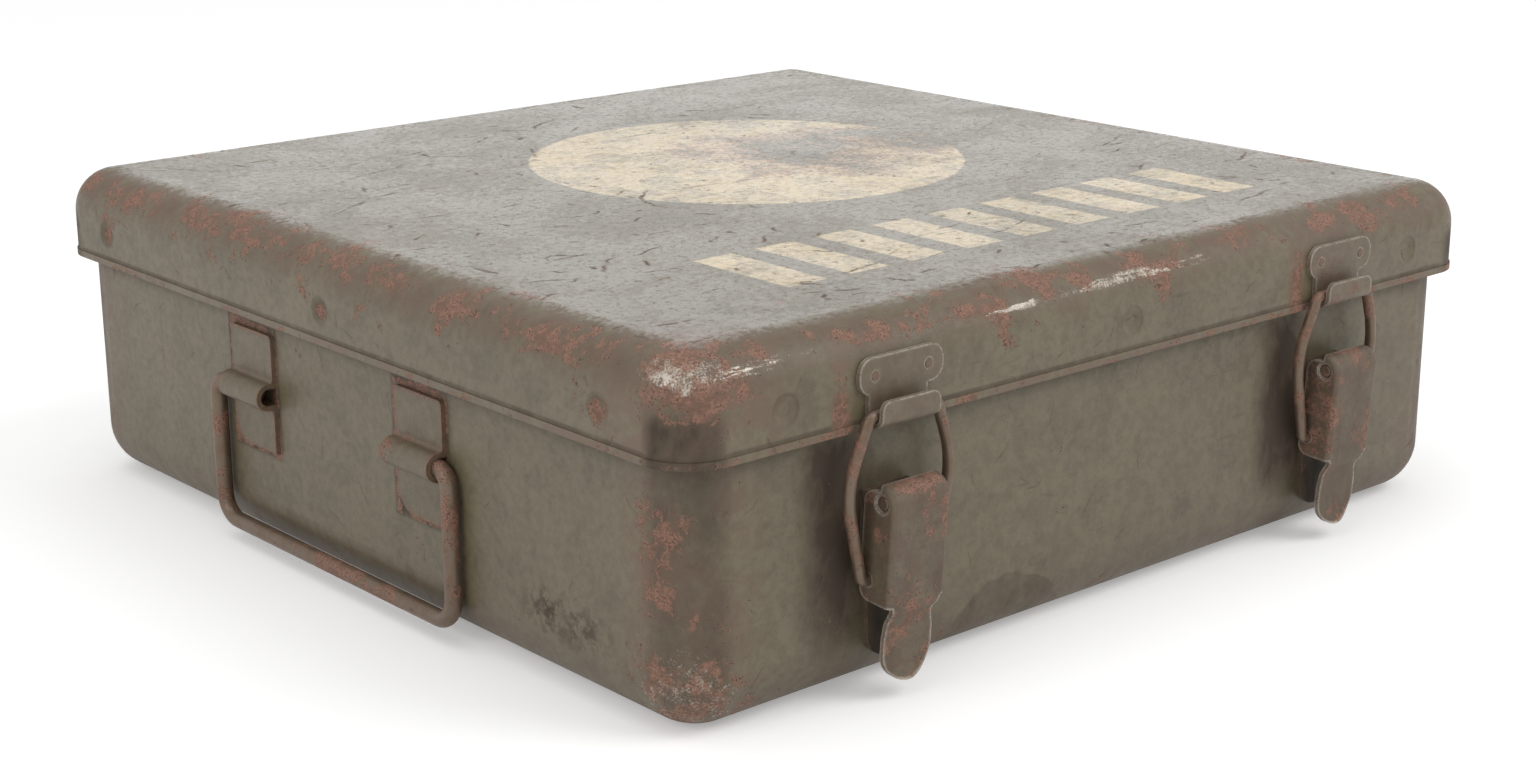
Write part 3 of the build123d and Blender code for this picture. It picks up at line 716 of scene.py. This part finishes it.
def line_round_strap(strap_y):
    past_side = tree.take(tree.size(tree.take(y, strap_y)), strap_half_width)
    past_end = tree.take(tree.size(tree.take(z, strap_middle)), strap_half_height)
    wavy = tree.swing(tree.noise(place, 0.5, 4.0, 0.7), 1.6)
    return tree.near(tree.add(tree.larger(past_side, past_end), wavy), 0.0, 1.0, 2.4)


strap_rust_and_shadow = tree.larger(*(line_round_strap(strap_y) for strap_y in strap_places))
strap_rust_and_shadow = tree.times(strap_rust_and_shadow, tree.rises(tree.times(x, -1.0), 117.0, 117.5))

# %% [markdown]
# Everything is in place, so the case takes the largest of all the amounts of rust and of grime and painted
# shade.

# %% Case, the finish
rust_amount = tree.larger(
    tree.times(upright, 0.28),
    tree.times(low, 0.3),
    tree.times(near_corner, 0.58),
    tree.times(corner_patch, 0.62),
    tree.times(strap_rust_and_shadow, 0.72),
    0.12,
)
grime_and_shade_amount = tree.larger(
    tree.times(latch_shadow, 0.86),
    tree.times(shade_under_lid, 0.4),
    tree.times(low, 0.2),
    # Painted shade: a dark band down each upright corner of the case.
    tree.times(tree.rises(outward, -13.0, -9.0), 0.36),
    tree.times(tide, 0.35),
    tree.times(rub, 0.6),
    # The strap line is both rust and a painted shadow of the strap edges.
    tree.times(strap_rust_and_shadow, 0.7),
    0.04,
)
wall_nicks = nicks_on_walls(tree, place, case_half_x, case_half_y, Cell=13.0, Length=4.0, Share=0.4)
finish = tree.group(
    aged_paint,
    Position=place,
    Rust=rust_amount,
    Bare=tree.times(near_corner, 0.52),
    Stain=tree.larger(tree.times(upright, 0.45), tree.times(low, 0.35), corner_patch),
    Grime=grime_and_shade_amount,
    Nick=tree.times(wall_nicks, 0.45),
    Scratch=0.4,
)
end_aged(tree, finish)
print("case paint:", len(case_paint.node_tree.nodes), "nodes")


# %% [markdown]
# The fittings were painted with the box and wear faster. They share one recipe and differ in
# how much rust, stain, grime and bare edge they show, so a function builds the material for each
# kind. The reach is how far an edge counts as an edge, in metres.


# %% Painted fittings
def fitting_paint(name, paint, rust_amount, edge_rust, edge_bare, stain_amount, grime_and_shade_amount, reach):
    material, tree, place = start_material(name)
    edges = tree.group(edge_wear, Position=place, Reach=reach, Amount=0.8)["Mask"]
    finish = tree.group(
        aged_paint,
        Position=place,
        Paint=paint,
        Rust=tree.add(rust_amount, tree.times(edges, edge_rust)),
        Bare=tree.times(edges, edge_bare),
        Stain=tree.add(stain_amount, tree.times(edges, edge_rust)),
        Grime=grime_and_shade_amount,
        Scratch=0.5,
    )
    end_aged(tree, finish, bump=0.45)
    print(name + ":", len(material.node_tree.nodes), "nodes")
    return material


keeper_paint = fitting_paint(
    "keeper paint",
    fitting_olive,
    rust_amount=0.28,
    edge_rust=0.1,
    edge_bare=0.75,
    stain_amount=0.35,
    grime_and_shade_amount=0.12,
    reach=0.0009,
)
strap_paint = fitting_paint(
    "strap paint",
    olive,
    rust_amount=0.26,
    edge_rust=0.6,
    edge_bare=0.2,
    stain_amount=0.1,
    grime_and_shade_amount=0.08,
    reach=0.0018,
)
base_paint = fitting_paint(
    "latch base paint",
    olive,
    rust_amount=0.3,
    edge_rust=0.2,
    edge_bare=0.3,
    stain_amount=0.6,
    grime_and_shade_amount=0.6,
    reach=0.0006,
)
lever_paint = fitting_paint(
    "lever paint",
    fitting_olive,
    rust_amount=0.47,
    edge_rust=0.05,
    edge_bare=0.8,
    stain_amount=0.5,
    grime_and_shade_amount=0.3,
    reach=0.0011,
)


# %% [markdown]
# The handle, the latch wires and the pins are drawn steel that has gone brown, with a dull metal
# shine where they are rubbed. Dull metal and rust, mixed by noise, give both at once.


# %% Rusty wire
def wire_finish(name, brown_share):
    material, tree, place = start_material(name)
    cover = tree.group(rust, Position=place, Amount=brown_share)
    streak = tree.noise(place, 0.25, 4.0, 0.6)
    steel = tree.mix(tree.rises(streak, 0.4, 0.75), worn_steel, stain_brown)
    color = tree.mix(cover["Mask"], steel, cover["Color"])
    roughness = tree.blend(cover["Mask"], 0.4, 0.62)
    metallic = tree.blend(cover["Mask"], 0.5, 0.1)
    end_material(tree, color, roughness, metallic, cover["Grain"], bump=0.18)
    print(name + ":", len(material.node_tree.nodes), "nodes")
    return material


handle_finish = wire_finish("handle wire", 0.52)
bail_finish = wire_finish("bail wire", 0.42)
pin_finish = wire_finish("pin steel", 0.5)

# %% [markdown]
# The seal inside the lid is black rubber that has dulled. It only shows when the lid is open.

# %% Rubber seal
seal_finish, tree, place = start_material("seal rubber")
bloom = tree.noise(place, 0.12, 4.0, 0.6)
grain = tree.noise(place, 2.5, 2.0)
seal_color = tree.mix(bloom, rubber_dark, rubber_bloom)
end_material(tree, seal_color, tree.blend(bloom, 0.62, 0.82), height=grain, bump=0.25)
print("seal rubber:", len(seal_finish.node_tree.nodes), "nodes")

# %% [markdown]
# The CAD pieces keep their shapes. Each gets its finish through its material slots.

# %% Hand out the finishes
finishes = {
    "case_body": case_paint,
    "lid_shell": lid_paint,
    "lid_seal": seal_finish,
    "handle_wire": handle_finish,
    "handle_strap": strap_paint,
    "latch_keeper": keeper_paint,
    "keeper_rivets": strap_paint,
    "latch_base": base_paint,
    "latch_pin": pin_finish,
    "latch_lever": lever_paint,
    "latch_bail": bail_finish,
    "hinge_lid_leaf": strap_paint,
    "hinge_body_leaf": strap_paint,
    "hinge_pin": pin_finish,
}
for node_name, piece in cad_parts.items():
    kind = next(start for start in finishes if node_name.startswith(start))
    piece.data.materials.clear()
    piece.data.materials.append(finishes[kind])
print("finished pieces:", len(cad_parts))

# %% [markdown]
# The photograph has a plain white surround. The floor is pale and matt and takes the shadow of
# the box. Camera and mirror rays also see a little added white, more of it far off where the
# lamps don't reach, so the floor fades into the white world without extra light on the box.

# %% Floor
floor_half = 6.0
corner_signs = ((-1, -1), (1, -1), (1, 1), (-1, 1))
paper_dark = (0.78, 0.78, 0.78, 1)
paper_light = (0.84, 0.84, 0.84, 1)
glow_near, glow_far = 0.3, 0.6

shape = bmesh.new()
shape.faces.new([shape.verts.new((sx * floor_half, sy * floor_half, 0)) for sx, sy in corner_signs])
floor_mesh = bpy.data.meshes.new("floor")
shape.to_mesh(floor_mesh)
shape.free()
floor = bpy.data.objects.new("floor", floor_mesh)
bpy.context.scene.collection.objects.link(floor)

floor_finish = bpy.data.materials.new("floor paper")
floor_finish.use_nodes = True
floor_finish.node_tree.nodes.clear()
tree = Tree(floor_finish.node_tree)
paper = tree.node("ShaderNodeBsdfDiffuse")
floor_place = tree.node("ShaderNodeTexCoord").outputs["Object"]
fibre = tree.noise(floor_place, 900.0, 2.0)
tree.feed(paper.inputs["Color"], tree.mix(fibre, paper_dark, paper_light))
rays = tree.node("ShaderNodeLightPath").outputs
seen = tree.larger(rays["Is Camera Ray"], rays["Is Glossy Ray"])
glow = tree.node("ShaderNodeEmission")
glow.inputs["Color"].default_value = (1, 1, 1, 1)
far_off = tree.rises(tree.distance(floor_place, (0, 0, 0)), 0.5, 2.5)
tree.feed(glow.inputs["Strength"], tree.times(seen, tree.blend(far_off, glow_near, glow_far)))
both = tree.node("ShaderNodeAddShader")
tree.feed(both.inputs[0], paper.outputs[0])
tree.feed(both.inputs[1], glow.outputs[0])
tree.feed(tree.node("ShaderNodeOutputMaterial").inputs["Surface"], both.outputs[0])
floor.data.materials.append(floor_finish)

# %% [markdown]
# The light is soft and comes from everywhere, as in a white tent. A wide key lamp above the front
# right lifts the front a little over the left side, and two weaker lamps fill in from above and
# from the left. The glossy lid mirrors the tent low down behind the box, so the tent is a little
# brighter there for glossy rays.

# %% World and lamps
tent_light = 0.58
tent_seen = 1.0
mirrored_low, mirrored_high = 1.14, 0.86
lamp_target = Vector((0, 0, 0.03))

world = bpy.data.worlds.new("white tent")
bpy.context.scene.world = world
world.use_nodes = True
world.node_tree.nodes.clear()
tree = Tree(world.node_tree)
rays = tree.node("ShaderNodeLightPath").outputs
seen = tree.larger(rays["Is Camera Ray"], rays["Is Glossy Ray"])
sky = tree.node("ShaderNodeBackground")
sky.inputs["Color"].default_value = (1, 1, 1, 1)
_, _, ray_height = tree.parts(tree.node("ShaderNodeTexCoord").outputs["Generated"])
mirrored = tree.blend(tree.rises(ray_height, 0.1, 0.32), mirrored_low, mirrored_high)
seen_strength = tree.blend(rays["Is Glossy Ray"], tent_seen, mirrored)
tree.feed(sky.inputs["Strength"], tree.blend(seen, tent_light, seen_strength))
tree.feed(tree.node("ShaderNodeOutputWorld").inputs["Surface"], sky.outputs[0])


def soft_lamp(name, place, size, power):
    data = bpy.data.lights.new(name, "AREA")
    data.shape = "DISK"
    data.size = size
    data.energy = power
    lamp = bpy.data.objects.new(name, data)
    lamp.location = place
    lamp.rotation_euler = (lamp_target - Vector(place)).to_track_quat("-Z", "Y").to_euler()
    bpy.context.scene.collection.objects.link(lamp)


soft_lamp("key lamp", (0.6, -0.95, 1.1), size=0.9, power=8.5)
soft_lamp("top lamp", (-0.2, 0.2, 1.3), size=1.2, power=4)
soft_lamp("left lamp", (-1.2, -0.1, 0.7), size=0.9, power=3.5)
